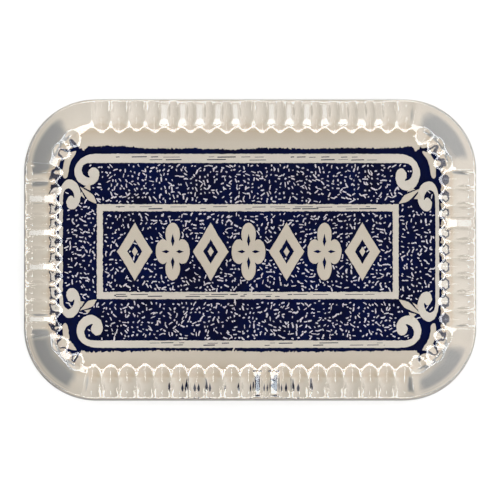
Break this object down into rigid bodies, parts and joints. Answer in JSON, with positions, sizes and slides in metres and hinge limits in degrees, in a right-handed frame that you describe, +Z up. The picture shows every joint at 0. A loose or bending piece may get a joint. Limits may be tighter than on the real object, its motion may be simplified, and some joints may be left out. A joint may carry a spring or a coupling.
{
  "type": "paperweight",
  "caption": "Rectangular clear glass paperweight with a fluted rolled edge, bonded over a printed cream and navy paper, on a felt pad.",
  "frame": {"origin": "centre of the underside of the felt pad", "axes": "+X along the long side, +Y along the short side towards the top of the print, +Z up through the glass"},
  "size_m": [0.1142, 0.0762, 0.0175],
  "materials": {
    "clear_glass": "fire-polished, clear",
    "dried_glue": "clear, dried",
    "printed_paper": "matt cream paper printed in navy",
    "felt": "pressed wool felt"
  },
  "bodies": {
    "root": {"glass_block": "clear_glass", "glue_film": "dried_glue", "print_sheet": "printed_paper", "felt_pad": "felt"}
  },
  "joints": []
}
